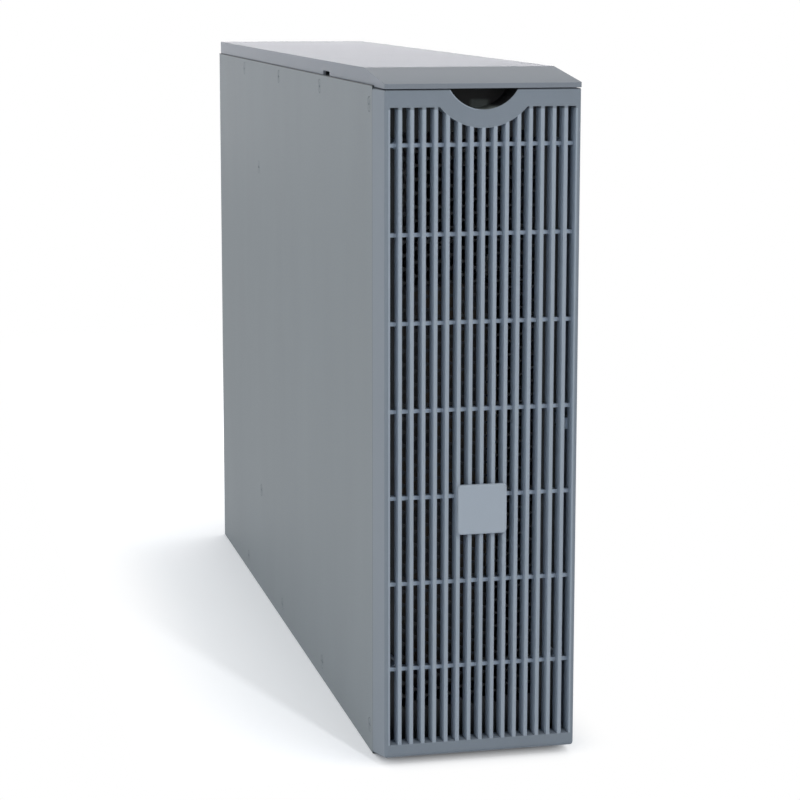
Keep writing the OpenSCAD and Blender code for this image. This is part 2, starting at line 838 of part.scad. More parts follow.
// Two leads from the input breaker to the supply poles
feed_x = 8;
module feed_leads() {
  color("black") for (k = [0, 1])
    tube(bend([brk_x + (1 - 2 * k) * feed_x, rear_in - brk_body_d, brk_z], [0, -row_pull, 0],
      [0, row_pull, 0], pole_end(1, coil_poles[2 + k], 0)), lead_r);
}

// Leads from the output poles to the reset breakers and the outlets
loop_pull = 22;
tab_x = 9;
tab_z = 8;
module output_leads() {
  reset_back = rear_in - reset_body_d;
  outlet_back = rear_in - outlet_body_d;
  top = outlet_z[1];
  bottom = outlet_z[0];
  away = [0, -loop_pull, 0];
  color("black") {
    for (k = [0, 1])
      tube(bend([(1 - 2 * k) * tab_x, rear_in - twist_body_d, twist_z], [0, -row_pull, 0],
        [0, row_pull, 0], pole_end(1, coil_poles[k], 0)), lead_r);
    tube(bend([reset_x + reset_body_w / 4, reset_back, reset_z[1]], away, [0, row_pull, 0],
      pole_end(1, coil_poles[1], lead_next)), lead_r);
    tube(bend([reset_x + reset_body_w / 4, reset_back, reset_z[0]], away, away,
      [reset_x + reset_body_w / 4, reset_back, reset_z[1] + tab_z]), lead_r);
    tube(bend([reset_x - reset_body_w / 4, reset_back, reset_z[1]], away, away,
      [outlet_x, outlet_back, top + tab_z]), lead_r);
    tube(bend([reset_x - reset_body_w / 4, reset_back, reset_z[0]], 2 * away, 2 * away,
      [-outlet_x, outlet_back, top + tab_z]), lead_r);
    tube(bend([outlet_x + tab_x, outlet_back, bottom - tab_z], away, [0, row_pull, 0],
      pole_end(1, coil_poles[0], lead_next)), lead_r);
    tube(bend([outlet_x - tab_x, outlet_back, bottom - tab_z], away, away,
      [tab_x - outlet_x, outlet_back, bottom - tab_z]), lead_r);
    for (x = [-outlet_x, outlet_x])
      tube(bend([x, outlet_back, top - tab_z], away, away, [x, outlet_back, bottom + tab_z]), lead_r);
  }
}

module earth_lead() {
  foot = [-foot_x, core_y0 + core_l, foot_z + clamp_t / 2];
  color("green") tube(bend([earth_x, rear_in - stud_in, earth_z], [0, -lead_pull, 0],
    [0, lead_pull, 0], foot), lead_r);
}

fan_y = rear_in - fan_d;
module fan_frame() {
  hub_y = rear_in - fan_strut_t;
  color("black") {
    difference() {
      plate_y(0, fan_y, fan_z, fan_w, fan_w, fan_d, fan_hole_in);
      bar_y([0, fan_y - cut, fan_z], fan_d + 2 * cut, fan_bore_r);
      for (x = [-1, 1], z = [-1, 1])
        bar_y([x * fan_pitch / 2, fan_y - cut, fan_z + z * fan_pitch / 2], fan_d + 2 * cut, fan_hole_r);
    }
    difference() {
      union() {
        bar_y([0, hub_y, fan_z], fan_strut_t, fan_hub_r);
        bar_y([0, fan_y + 2 * fan_wall + fan_face_gap, fan_z], hub_y - fan_y - 2 * fan_wall, 3 * fan_shaft_r);
        translate([0, hub_y + fan_strut_t / 2, fan_z]) for (turn = [45, 135]) rotate([0, turn, 0])
          cube([2 * fan_bore_r + fan_wall, fan_strut_t, fan_strut_w], center = true);
      }
      bar_y([0, fan_y, fan_z], fan_d - fan_wall, fan_shaft_r + run_gap);
    }
  }
}

module fan_rotor() {
  tip = fan_bore_r - fan_tip_gap;
  face = fan_y + fan_face_gap;
  color("dimgray") {
    difference() {
      union() {
        bar_y([0, face, fan_z], fan_hub_d, fan_hub_r);
        intersection() {
          bar_y([0, face, fan_z], fan_hub_d, tip);
          translate([0, face + fan_hub_d / 2, fan_z]) for (k = [0 : fan_blades - 1])
            rotate([0, 360 * k / fan_blades, 0]) rotate([0, 0, fan_blade_turn])
              translate([0, 0, tip / 2 + fan_hub_r / 3])
                cube([fan_hub_r, fan_blade_t, tip], center = true);
        }
      }
      bar_y([0, face + fan_wall, fan_z], fan_d, fan_hub_r - fan_wall);
    }
    bar_y([0, face, fan_z], fan_hub_d, fan_shaft_r);
  }
}

// Stamped finger guard: rings and four spokes that end in screw ears
module fan_guard() {
  step = (fan_bore_r - guard_ring_w) / guard_rings;
  reach = fan_pitch / sqrt(2);
  color("silver") translate([0, rear_y + guard_t, fan_z]) rotate([90, 0, 0])
    linear_extrude(height = guard_t) difference() {
      union() {
        for (i = [1 : guard_rings]) difference() {
          circle(r = i * step + guard_ring_w);
          circle(r = i * step);
        }
        for (turn = [45, 135]) rotate(turn) square([2 * reach, 2 * guard_ring_w], center = true);
        for (turn = [45, 135, 225, 315]) rotate(turn) translate([reach, 0]) circle(r = guard_ear_r);
      }
      for (turn = [45, 135, 225, 315]) rotate(turn) translate([reach, 0]) circle(r = fan_hole_r);
    }
}

module fan_screws() {
  color("silver") for (x = [-1, 1], z = [-1, 1]) {
    p = [x * fan_pitch / 2, rear_y + guard_t, fan_z + z * fan_pitch / 2];
    bar_y(p, fan_hole_r, 2 * fan_hole_r);
    bar_y(p - [0, fan_screw_l, 0], fan_screw_l + cut, fan_hole_r - fit);
  }
}

// Part of the input breaker that fills its cut-out in the panel, widened by grow
module breaker_neck(grow, y0, y1) {
  w = brk_w / 2 - brk_side + grow;
  h = brk_h / 2 - brk_side + grow;
  block([brk_x - w, y0, brk_z - h], [brk_x + w, y1, brk_z + h]);
}

lever_y = rear_y - lever_in;
module breaker_body() {
  room = lever_r + lever_gap;
  half = lever_w / 2 + lever_gap;
  color("black") difference() {
    union() {
      breaker_neck(0, rear_in - brk_body_d, rear_y);
      block([brk_x - brk_w / 2, rear_y, brk_z - brk_h / 2],
        [brk_x + brk_w / 2, rear_y + brk_face_t, brk_z + brk_h / 2]);
    }
    bar_x([brk_x - half, lever_y, brk_z], 2 * half, room);
    block([brk_x - half, lever_y, brk_z - room], [brk_x + half, rear_y + brk_face_t + cut, brk_z + room]);
    bar_x([brk_x - half - lever_pin_l, lever_y, brk_z], 2 * (half + lever_pin_l), lever_pin_r + run_gap);
  }
}

module breaker_lever() {
  pin = lever_w / 2 + lever_pin_l;
  color("black") translate([brk_x, lever_y, brk_z]) rotate([lever_throw, 0, 0]) {
    bar_x([-lever_w / 2, 0, 0], lever_w, lever_r);
    bar_x([-pin, 0, 0], 2 * pin, lever_pin_r);
    block([-lever_w / 2, 0, -lever_tip / 2], [lever_w / 2, lever_reach, lever_tip / 2]);
  }
}

module reset_breakers() {
  w = reset_body_w / 2;
  h = reset_body_h / 2;
  color("black") for (z = reset_z) difference() {
    union() {
      block([reset_x - w, rear_in - reset_body_d, z - h], [reset_x + w, rear_in, z + h]);
      bar_y([reset_x, rear_in - cut, z], cut + rear_t + reset_neck_l, reset_r);
    }
    bar_y([reset_x, rear_in - reset_neck_l, z], 3 * reset_neck_l, button_r + fit);
  }
}

module reset_nuts() {
  color("silver") for (z = reset_z) difference() {
    hex_y([reset_x, rear_y, z], reset_ring_t, reset_ring_r);
    bar_y([reset_x, rear_y - cut, z], reset_ring_t + 2 * cut, reset_r + run_gap);
  }
}

module reset_button(z) {
  y = rear_y + reset_neck_l + fit;
  color("firebrick") {
    bar_y([reset_x, y, z], button_cap_t, button_cap_r);
    bar_y([reset_x, y - button_l, z], button_l + button_cap_t, button_r);
  }
}

module reset_button_upper() {
  reset_button(reset_z[0]);
}

module reset_button_lower() {
  reset_button(reset_z[1]);
}

module outlet_neck(x, z, grow, y0, y1) {
  w = outlet_w / 2 - outlet_side + grow;
  h = outlet_h / 2 - outlet_side + grow;
  block([x - w, y0, z - h], [x + w, y1, z + h]);
}

// Grounded outlets: one upright slot, one T-shaped slot and an earth hole each
module outlets() {
  face = rear_y + outlet_face_t;
  low = earth_hole_z / 2;
  color("black") for (x = [-outlet_x, outlet_x], z = outlet_z) difference() {
    union() {
      plate_y(x, rear_y, z, outlet_w, outlet_h, outlet_face_t, outlet_corner);
      outlet_neck(x, z, 0, rear_in - outlet_body_d, rear_y);
    }
    for (s = [-1, 1])
      block([x + s * blade_slot_x - blade_slot_w / 2, face - slot_depth, z + low - blade_slot_h / 2],
        [x + s * blade_slot_x + blade_slot_w / 2, face + cut, z + low + blade_slot_h / 2]);
    block([x + blade_slot_x - blade_slot_h / 2, face - slot_depth, z + low - blade_slot_w / 2],
      [x + blade_slot_x, face + cut, z + low + blade_slot_w / 2]);
    bar_y([x, face - slot_depth, z - low], slot_depth + cut, earth_hole_r);
  }
}

module twist_outlet() {
  face = rear_y + twist_face_t;
  color("black") difference() {
    union() {
      bar_y([0, rear_y, twist_z], twist_face_t, twist_r);
      bar_y([0, rear_in - twist_body_d, twist_z], twist_body_d + rear_t, twist_body_r);
    }
    translate([0, face + cut, twist_z]) rotate([90, 0, 0]) for (k = [0 : 2]) rotate(120 * k)
      rotate_extrude(angle = twist_slot_turn) translate([twist_slot_r, 0])
        square([twist_slot_w, slot_depth + cut]);
    for (x = [-1, 1])
      bar_y([x * twist_screw_x, rear_y - cut, twist_z], twist_face_t + 2 * cut, twist_screw_r + fit);
  }
}

module twist_screws() {
  face = rear_y + twist_face_t;
  color("silver") for (x = [-1, 1]) {
    bar_y([x * twist_screw_x, face, twist_z], twist_head_t, twist_head_r);
    bar_y([x * twist_screw_x, face - twist_screw_l, twist_z], twist_screw_l + twist_head_t, twist_screw_r);
  }
}

// Cable gland: body through the panel, lock nut inside, dome that squeezes the seal outside
module gland_body() {
  color("black") difference() {
    union() {
      hex_y([gland_x, rear_y, gland_z], gland_hex_t, gland_r + nut_over);
      bar_y([gland_x, rear_in - gland_in, gland_z], gland_in + rear_t + gland_hex_t + gland_stub_l, gland_r);
    }
    bar_y([gland_x, rear_in - gland_in - cut, gland_z],
      gland_in + rear_t + gland_hex_t + gland_stub_l + 2 * cut, gland_r - gland_wall);
  }
}

module gland_nut() {
  color("black") difference() {
    hex_y([gland_x, rear_in - gland_nut_t, gland_z], gland_nut_t, gland_r + nut_over);
    bar_y([gland_x, rear_in - gland_nut_t - cut, gland_z], gland_nut_t + 2 * cut, gland_r + run_gap);
  }
}

seal_y = rear_y + gland_hex_t + gland_stub_l;
module gland_seal() {
  color("gray") difference() {
    bar_y([gland_x, seal_y, gland_z], seal_t, gland_r);
    bar_y([gland_x, seal_y - cut, gland_z], seal_t + 2 * cut, cable_r);
  }
}

module gland_dome() {
  base = rear_y + gland_hex_t + fit;
  color("black") difference() {
    bar_y([gland_x, base, gland_z], rear_y + gland_reach - base, gland_r + gland_wall);
    bar_y([gland_x, base - cut, gland_z], seal_y + seal_t - base + cut, gland_r + run_gap);
    bar_y([gland_x, base, gland_z], gland_reach, cable_r + gland_mouth);
  }
}

// Earth stud with a hexagonal collar outside the panel and a nut on a washer inside
module earth_stud() {
  color("goldenrod") {
    bar_y([earth_x, rear_in - stud_in, earth_z], stud_in + rear_t + stud_out, stud_r);
    hex_y([earth_x, rear_y, earth_z], earth_nut_t, stud_r * hex_share);
  }
}

module earth_nut() {
  nut_y = rear_in - washer_t - earth_nut_t;
  color("goldenrod") difference() {
    union() {
      hex_y([earth_x, nut_y, earth_z], earth_nut_t, stud_r * hex_share);
      bar_y([earth_x, rear_in - washer_t, earth_z], washer_t, stud_r * washer_share);
    }
    bar_y([earth_x, nut_y - cut, earth_z], earth_nut_t + washer_t + 2 * cut, stud_r + run_gap);
  }
}

// Outer form of the bezel drawn in by inset, from the plane y0 back to the plane y1
module bezel_form(inset, y0, y1) {
  w0 = half_w - bezel_draft - inset;
  w1 = half_w - inset;
  intersection() {
    linear_extrude(height = body_h)
      polygon([[-w0, front_y], [w0, front_y], [w1, seam_y], [-w1, seam_y]]);
    translate([-half_w, 0, 0]) rotate([90, 0, 90]) linear_extrude(height = body_w)
      polygon([[front_y, bezel_rise + inset], [seam_y, bezel_foot + inset],
        [seam_y, bezel_top - inset], [front_y, bezel_top - inset]]);
    block([-half_w, y0, 0], [half_w, y1, body_h]);
  }
}

module bezel() {
  plate_y1 = front_y + bar_d;
  slot_w = slot_pitch - bar_w;
  color("silver") difference() {
    union() {
      difference() {
        bezel_form(0, front_y, seam_y);
        bezel_form(bezel_wall, plate_y1, seam_y + cut);
        for (i = [0 : slot_count - 1])
          translate([(i - (slot_count - 1) / 2) * slot_pitch, 0, 0])
            block([-slot_w / 2, front_y - cut, slot_low], [slot_w / 2, plate_y1 + cut, slot_high]);
      }
      for (i = [0 : rib_count - 1])
        block([-post_x - slot_pitch, front_y + rib_set, rib_low + i * rib_pitch - rib_h / 2],
          [post_x + slot_pitch, plate_y1, rib_low + i * rib_pitch + rib_h / 2]);
      block([-boss_w / 2, front_y, badge_z - boss_w / 2], [boss_w / 2, plate_y1, badge_z + boss_w / 2]);
      intersection() {
        bezel_form(0, front_y, seam_y);
        union() {
          bar_y([0, front_y, notch_z], bar_d, notch_r + notch_ring);
          bar_y([0, front_y, notch_z], pocket_d + bezel_wall, notch_r + bezel_wall);
        }
      }
      for (x = [-post_x, post_x], z = post_z) {
        bar_y([x, plate_y1 - rib_h, z], seam_y + post_reach - plate_y1 + rib_h, post_r);
        translate([x, seam_y + post_reach, z]) rotate([-90, 0, 0])
          cylinder(h = post_tip, r1 = post_r, r2 = post_r - post_tip);
      }
      for (x = [-hook_x, hook_x])
        block([x - hook_w / 2, plate_y1 - cut, hook_z - hook_h / 2],
          [x + hook_w / 2, seam_y + hook_reach, hook_z + hook_h / 2]);
    }
    bar_y([0, front_y - cut, notch_z], cut + pocket_d, notch_r);
    bar_y([0, front_y - cut, badge_z], bar_d + 2 * cut, badge_pin_r + run_gap);
  }
}

module badge() {
  back = front_y - badge_gap;
  color("silver") {
    plate_y(0, back - badge_t, badge_z, badge_w, badge_w, badge_t, badge_corner);
    bar_y([0, back - cut, badge_z], cut + badge_gap + bar_d + fit + 2 * clip_t, badge_pin_r);
  }
}

// Push-on washer that keeps the badge's pivot in the bezel
module badge_clip() {
  y = front_y + bar_d + fit;
  color("gray") difference() {
    bar_y([0, y, badge_z], clip_t, clip_r);
    bar_y([0, y - cut, badge_z], clip_t + 2 * cut, badge_pin_r + run_gap);
  }
}

// Lid that is hollow over the case and solid over the bezel, where its nose hangs lower
module top_cap() {
  w = half_w - cap_inset;
  y0 = front_y - cap_over;
  top = body_h + cap_h;
  low = top - cap_fall;
  slope = cap_fall / cap_run;
  nose_y = seam_y + cap_wall;
  color("gainsboro") {
    difference() {
      translate([-w, 0, 0]) rotate([90, 0, 90]) linear_extrude(height = 2 * w)
        polygon([[y0, body_h - cap_hang], [seam_y - fit, body_h - cap_hang], [seam_y - fit, body_h],
          [rear_y, body_h], [rear_y, top], [y0 + cap_run, top], [y0, low]]);
      translate([cap_wall - w, 0, 0]) rotate([90, 0, 90]) linear_extrude(height = 2 * (w - cap_wall))
        polygon([[nose_y, body_h - cut], [rear_y - cap_wall, body_h - cut],
          [rear_y - cap_wall, top - cap_wall], [y0 + cap_run, top - cap_wall],
          [nose_y, low + slope * (nose_y - y0) - cap_wall]]);
      block([-w - cut, seam_y + pry_y - pry_w / 2, body_h - cut],
        [w + cut, seam_y + pry_y + pry_w / 2, body_h + pry_h]);
    }
    for (i = [1 : cap_ribs])
      block([cap_wall / 2 - w, seam_y + i * body_d / (cap_ribs + 1) - cap_rib_t / 2, body_h + pry_h],
        [w - cap_wall / 2, seam_y + i * body_d / (cap_ribs + 1) + cap_rib_t / 2, top - cap_wall / 2]);
    for (x = [-cap_post_x, cap_post_x], y = cap_post_y) {
      bar_z([x, seam_y + y, in_top - cap_post_reach],
        cap_post_reach + sheet_t + cap_h - cap_wall / 2, post_r);
      translate([x, seam_y + y, in_top - cap_post_reach - post_tip])
        cylinder(h = post_tip, r1 = post_r - post_tip, r2 = post_r);
    }
  }
}

case_pan();
side_cover();
cover_screws();
cover_nuts();
panel_screws();
front_screen();
screen_frame();
rear_panel();
air_baffle();
e_laminations();
i_laminations();
bobbin();
primary_winding();
static_shield();
secondary_winding();
outer_wrap();
clamp_angles();
clamp_bolts();
bolt_bushes();
core_pads();
floor_studs();
floor_nuts();
wall_brackets();
bracket_bolts();
thermal_switch();
terminal_block();
terminal_screws();
coil_leads();
feed_leads();
output_leads();
earth_lead();
fan_frame();
fan_guard();
fan_screws();
fan_rotor();
breaker_body();
breaker_lever();
reset_breakers();
reset_nuts();
reset_button_upper();
reset_button_lower();
outlets();
twist_outlet();
twist_screws();
gland_body();
gland_dome();
gland_nut();
gland_seal();
earth_stud();
earth_nut();
bezel();
badge();
badge_clip();
top_cap();
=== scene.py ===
"""Looks of an isolation transformer in a tower case: soft edges, paints, mouldings and studio."""
import json
import math

import bmesh
import bpy
from mathutils import Matrix, Vector

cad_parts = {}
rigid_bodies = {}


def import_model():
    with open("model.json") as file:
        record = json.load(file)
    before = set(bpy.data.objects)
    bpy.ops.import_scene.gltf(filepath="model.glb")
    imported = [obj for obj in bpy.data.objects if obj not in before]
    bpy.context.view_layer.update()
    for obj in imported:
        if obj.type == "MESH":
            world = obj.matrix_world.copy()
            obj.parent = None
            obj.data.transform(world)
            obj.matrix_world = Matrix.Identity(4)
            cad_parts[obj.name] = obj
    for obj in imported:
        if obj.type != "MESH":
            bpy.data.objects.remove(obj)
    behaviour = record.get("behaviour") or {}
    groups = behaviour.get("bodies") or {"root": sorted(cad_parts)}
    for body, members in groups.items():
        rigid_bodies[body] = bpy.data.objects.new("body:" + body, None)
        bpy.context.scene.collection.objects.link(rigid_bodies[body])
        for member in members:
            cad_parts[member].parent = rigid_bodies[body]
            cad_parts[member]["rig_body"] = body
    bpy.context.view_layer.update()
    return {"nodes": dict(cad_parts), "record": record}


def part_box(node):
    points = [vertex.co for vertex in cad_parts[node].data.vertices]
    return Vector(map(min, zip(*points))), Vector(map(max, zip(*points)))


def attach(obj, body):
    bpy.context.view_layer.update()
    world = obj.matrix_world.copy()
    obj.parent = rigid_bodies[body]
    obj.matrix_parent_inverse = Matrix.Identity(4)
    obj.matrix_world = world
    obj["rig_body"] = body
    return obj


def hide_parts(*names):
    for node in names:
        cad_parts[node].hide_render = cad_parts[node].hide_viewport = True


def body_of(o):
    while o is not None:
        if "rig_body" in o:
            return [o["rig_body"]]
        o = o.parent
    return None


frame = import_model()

nodes = frame["nodes"]
MM = 0.001


class Wire:
    """A shader socket that can stand in a sum; each operation adds its own Math node."""

    def __init__(self, graph, socket):
        self.graph = graph
        self.socket = socket

    def math(self, kind, *terms):
        return self.graph.node("ShaderNodeMath", {"operation": kind}, dict(enumerate(terms)))

    def __add__(self, other):
        return self.math("ADD", self, other)

    def __radd__(self, other):
        return self.math("ADD", other, self)

    def __sub__(self, other):
        return self.math("SUBTRACT", self, other)

    def __rsub__(self, other):
        return self.math("SUBTRACT", other, self)

    def __mul__(self, other):
        return self.math("MULTIPLY", self, other)

    def __rmul__(self, other):
        return self.math("MULTIPLY", other, self)

    def __truediv__(self, other):
        return self.math("DIVIDE", self, other)

    def __mod__(self, other):
        return self.math("FLOORED_MODULO", self, other)

    def __abs__(self):
        return self.math("ABSOLUTE", self)

    def rise(self, low, high):
        """0 below low, 1 above high and a smooth rise between them, or a fall where high is the lower."""
        return self.graph.node("ShaderNodeMapRange", {"interpolation_type": "SMOOTHSTEP"},
                               {"Value": self, "From Min": low, "From Max": high})


class Graph:
    """A node tree in which one method makes every node."""

    def __init__(self, tree):
        self.tree = tree

    def node(self, kind, settings=None, sockets=None, out=0):
        made = self.tree.nodes.new(kind)
        for key, value in (settings or {}).items():
            setattr(made, key, value)
        for key, value in (sockets or {}).items():
            self.feed(made.inputs[key], value)
        return Wire(self, made.outputs[out]) if made.outputs else None

    def feed(self, socket, value):
        if isinstance(value, Wire):
            self.tree.links.new(value.socket, socket)
        else:
            socket.default_value = (*value, 1) if socket.type == "RGBA" else value

    def seen(self):
        """1 where the camera sees it, straight or by way of gloss or glass, else 0."""
        ways = ("Is Camera Ray", "Is Glossy Ray", "Is Transmission Ray")
        straight, gloss, glass = (self.node("ShaderNodeLightPath", out=way) for way in ways)
        return straight + gloss + glass


class Finish(Graph):
    """One material, with its patterns in metres on the piece and its shader."""

    def __init__(self, name):
        self.material = bpy.data.materials.new(name)
        self.material.use_nodes = True
        super().__init__(self.material.node_tree)
        self.shader = self.tree.nodes["Principled BSDF"]
        self.place = self.node("ShaderNodeTexCoord", out="Object")

    def lumps(self, size, detail=2.0, along=None):
        """Noise whose lumps are about as wide as size, from 0 to 1 round 0.5."""
        place = self.place
        if along:
            place = self.node("ShaderNodeVectorMath", {"operation": "MULTIPLY"}, {0: place, 1: along})
        return self.node("ShaderNodeTexNoise", {"normalize": True},
                         {"Vector": place, "Scale": 1 / size, "Detail": detail, "Roughness": 0.55})

    def crystals(self, size):
        """A random tone for each crystal, from 0 to 1."""
        cell = self.node("ShaderNodeTexVoronoi", {}, {"Vector": self.place, "Scale": 1 / size}, "Color")
        return self.node("ShaderNodeSeparateColor", {}, {0: cell})

    def axis(self, name):
        """The place along one axis, in metres."""
        return self.node("ShaderNodeSeparateXYZ", {}, {0: self.place}, out="XYZ".index(name))

    def facing(self, name):
        """How squarely the surface looks along an axis, from 0 to 1."""
        normal = self.node("ShaderNodeNewGeometry", out="True Normal")
        return abs(self.node("ShaderNodeSeparateXYZ", {}, {0: normal}, out="XYZ".index(name)))

    def edges(self, width):
        """1 on edges and corners, 0 on the flats, from how far a rounded normal leans off the true one."""
        flat_cosine, edge_cosine = 0.995, 0.90
        rounded = self.node("ShaderNodeBevel", {"samples": 4}, {"Radius": width})
        flat = self.node("ShaderNodeNewGeometry", out="Normal")
        cosine = self.node("ShaderNodeVectorMath", {"operation": "DOT_PRODUCT"},
                           {0: rounded, 1: flat}, "Value")
        return cosine.rise(flat_cosine, edge_cosine)

    def shade(self, colour, factor):
        """A colour made lighter or darker by a factor near 1."""
        return self.node("ShaderNodeVectorMath", {"operation": "SCALE"}, {0: colour, "Scale": factor})

    def blend(self, mask, below, above):
        """The colour below where the mask is 0, and the colour above where it is 1."""
        return self.node("ShaderNodeMix", {"data_type": "RGBA"}, {0: mask, 6: below, 7: above}, out=2)

    def relief(self, height, depth, strength=1.0):
        """A fine relief that leans the normal; depth is in metres."""
        return self.node("ShaderNodeBump", {}, {"Strength": strength, "Distance": depth, "Height": height})

    def surface(self, colour, rough, metal=0.0, normal=None, **fixed):
        """Feeds the shader; what is the same all over is set on the shader's own sockets."""
        sockets = {"Base Color": colour, "Roughness": rough, "Metallic": metal, "Normal": normal, **fixed}
        for key, value in sockets.items():
            if value is not None:
                self.feed(self.shader.inputs[key.replace("_", " ")], value)
        return self.material


# Finishes

MATT_GLOSS = 0.08


def powder_coat(name, colour, rough=0.46, local=None):
    """Fine textured powder coat: orange peel, pale and dark specks and cloudy patches."""
    f = Finish(name)
    cloud = f.lumps(0.12, 3)
    sweep = f.lumps(0.05, 2, along=(1, 1, 0.25))
    fleck = f.lumps(0.9 * MM, 1)
    peel = f.lumps(1.6 * MM, 2)
    tone = 0.89 + 0.09 * cloud + 0.10 * sweep + 0.10 * (fleck - 0.5)
    # local, where given, multiplies in painted light and shade for places on the piece.
    tone = tone * local(f) if local else tone
    return f.surface(f.shade(colour, tone), rough + 0.10 * (peel - 0.5) + 0.05 * (cloud - 0.5),
                     normal=f.relief(peel + 0.4 * fleck, 0.06 * MM, 0.5), Specular_IOR_Level=MATT_GLOSS)


def satin_moulding(name, colour, rough=0.42, gloss=MATT_GLOSS, local=None):
    """Satin painted moulding: spark-eroded grain and slow flow marks."""
    f = Finish(name)
    flow = f.lumps(0.07, 2, along=(1, 1, 0.3))
    spark = f.lumps(0.7 * MM, 2)
    tone = 0.95 + 0.07 * flow + 0.07 * (spark - 0.5)
    # local, where given, multiplies in painted light and shade for places on the piece.
    tone = tone * local(f) if local else tone
    return f.surface(f.shade(colour, tone), rough + 0.12 * (spark - 0.5),
                     normal=f.relief(spark, 0.04 * MM, 0.45), Specular_IOR_Level=gloss)


def plain_moulding(name, colour, rough=0.5, grain=0.6, gleam=0.25):
    """Self-coloured plastic: erosion grain, faint cloudy gloss and paler worn edges."""
    f = Finish(name)
    worn = 0.4 * MM
    cloud = f.lumps(0.02, 3)
    spark = f.lumps(grain * MM, 2)
    tone = 0.86 + 0.16 * cloud + 0.14 * (spark - 0.5) + gleam * f.edges(worn)
    return f.surface(f.shade(colour, tone), rough + 0.14 * (cloud - 0.5) + 0.10 * (spark - 0.5),
                     normal=f.relief(spark, 0.05 * MM, 0.5))


def zinc_plate(name):
    """Zinc plate: tumbled scratches, a faint straw and blue tint and dull patches."""
    f = Finish(name)
    bluish, straw = (0.41, 0.41, 0.42), (0.43, 0.43, 0.41)
    tint = f.lumps(4 * MM, 3)
    rub = f.lumps(0.5 * MM, 3, along=(1, 6, 1))
    body = f.blend(tint.rise(0.35, 0.7), bluish, straw)
    return f.surface(f.shade(body, 0.86 + 0.22 * rub), 0.30 + 0.22 * tint, metal=1.0,
                     normal=f.relief(rub, 0.02 * MM, 0.4))


def spangled_sheet(name, colour):
    """Hot dip galvanised sheet with its crystal spangle."""
    f = Finish(name)
    pick = f.crystals(7 * MM)
    frost = f.lumps(1.2 * MM, 3)
    return f.surface(f.shade(colour, 0.80 + 0.24 * pick + 0.10 * frost), 0.34 + 0.20 * pick, metal=0.85,
                     normal=f.relief(frost + 0.5 * pick, 0.03 * MM, 0.4))


def screen_sheet(name, colour):
    """Dark paint on the perforated screen, made dark to stand in for the shade behind the grille: painted
    shade; slightly cloudy.
    """
    f = Finish(name)
    cloud = f.lumps(0.03, 2)
    peel = f.lumps(1.1 * MM, 2)
    tone = 0.92 + 0.10 * cloud + 0.10 * (peel - 0.5)
    return f.surface(f.shade(colour, tone), 0.40 + 0.12 * (peel - 0.5),
                     normal=f.relief(peel, 0.04 * MM, 0.4))


def lamination_stack(name):
    """Varnished laminations: sheet edges across X, blued and rusted a little between coats."""
    f = Finish(name)
    blued, rusted = (0.055, 0.062, 0.075), (0.11, 0.085, 0.06)
    sheet_t = 0.5 * MM
    sheet = abs((f.axis("X") / sheet_t) % 1.0 - 0.5) * 2
    edge_on = 1 - f.facing("X")
    varnish = f.lumps(0.018, 4)
    body = f.blend(varnish.rise(0.35, 0.65), blued, rusted)
    line = 1 - 0.55 * edge_on * (1 - sheet)
    return f.surface(f.shade(body, line * (0.85 + 0.3 * varnish)), 0.35 + 0.25 * varnish, metal=0.55,
                     normal=f.relief(sheet * edge_on, 0.12 * MM, 0.6),
                     Coat_Weight=0.25, Coat_Roughness=0.25)


def wound_turns(name, colour, wire):
    """Enamelled wire wound side by side, every turn its own ridge, with painted shade in the valleys
    between turns.
    """
    f = Finish(name)
    turn = abs((f.axis("Y") / wire) % 1.0 - 0.5) * 2
    ridge = 1 - turn * turn
    wander = f.lumps(0.012, 3)
    # The colour is painted darker in the valleys between turns and lighter on the crests: painted shade and
    # highlight.
    return f.surface(f.shade(colour, 0.62 + 0.38 * ridge + 0.18 * (wander - 0.5)), 0.24 + 0.12 * wander,
                     metal=0.9, normal=f.relief(ridge, 0.35 * wire, 0.8),
                     Coat_Weight=0.5, Coat_Roughness=0.15)


def wrap_tape(name):
    """Amber polyester tape, lapped in 19 mm bands, glossy with creases."""
    f = Finish(name)
    amber = (0.70, 0.45, 0.08)
    band = 19 * MM
    lap = (f.axis("Y") / band) % 1.0
    crease = f.lumps(6 * MM, 3, along=(1, 2.5, 1))
    tone = 0.80 + 0.18 * lap.rise(0.0, 0.08) + 0.16 * (crease - 0.5)
    return f.surface(f.shade(amber, tone), 0.22 + 0.16 * crease,
                     normal=f.relief(crease + 0.6 * lap.rise(0.0, 0.03), 0.25 * MM, 0.6),
                     Coat_Weight=0.3, Coat_Roughness=0.1)


def fibre(name, colour):
    """Pressed insulating fibre with short strands."""
    f = Finish(name)
    strand = f.lumps(1.5 * MM, 4, along=(0.3, 1, 1))
    return f.surface(f.shade(colour, 0.80 + 0.40 * strand), 0.62 + 0.2 * (strand - 0.5),
                     normal=f.relief(strand, 0.08 * MM, 0.5))


def rubber(name, colour):
    """Dull rubber with bloom and fine pits."""
    f = Finish(name)
    bloom = f.lumps(9 * MM, 3)
    pit = f.lumps(0.6 * MM, 2)
    return f.surface(f.shade(colour, 0.80 + 0.55 * bloom + 0.2 * (pit - 0.5)), 0.70 + 0.15 * bloom,
                     normal=f.relief(pit, 0.06 * MM, 0.6))


def turned_brass(name):
    """Turned brass, toned brown where it has been handled."""
    f = Finish(name)
    bright, brown = (0.72, 0.52, 0.22), (0.45, 0.29, 0.12)
    lathe = f.lumps(0.35 * MM, 2, along=(1, 5, 1))
    toned = f.lumps(3 * MM, 3)
    body = f.blend(toned.rise(0.4, 0.75), bright, brown)
    return f.surface(f.shade(body, 0.85 + 0.25 * lathe), 0.26 + 0.25 * toned, metal=1.0,
                     normal=f.relief(lathe, 0.02 * MM, 0.5))


